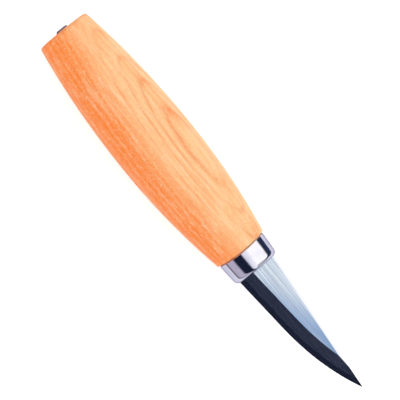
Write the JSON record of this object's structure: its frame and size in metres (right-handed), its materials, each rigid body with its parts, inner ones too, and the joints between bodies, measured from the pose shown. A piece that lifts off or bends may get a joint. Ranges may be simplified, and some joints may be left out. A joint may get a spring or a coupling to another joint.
{
  "type": "chip carving knife",
  "caption": "Carving knife with a short laminated blade, plated ferrule and barrel-shaped birch grip, and a plastic sheath with a button hanger that slides off along the blade.",
  "frame": {"origin": "on the knife's axis, at the widest section of the grip", "axes": "+X along the knife to its point, +Y towards the spine, +Z out of the blade's left side"},
  "size_m": [0.4022, 0.0304, 0.0275],
  "materials": {
    "core_steel": "ground and honed",
    "cladding_steel": "ground",
    "ferrule_plate": "bright nickel plate",
    "birch": "satin lacquer",
    "shell_plastic": "moulded, slight gloss",
    "hanger_plastic": "moulded, slight gloss"
  },
  "bodies": {
    "knife": {"blade_core": "core_steel", "left_cladding": "cladding_steel", "right_cladding": "cladding_steel", "ferrule": "ferrule_plate", "grip": "birch"},
    "sheath": {"sheath_shell": "shell_plastic", "hanger": "hanger_plastic"}
  },
  "joints": [
    {"name": "sheath_slide", "type": "slide", "parent": "knife", "child": "sheath", "axis": [1, 0, 0], "range_m": [-0.1541, 0]}
  ]
}
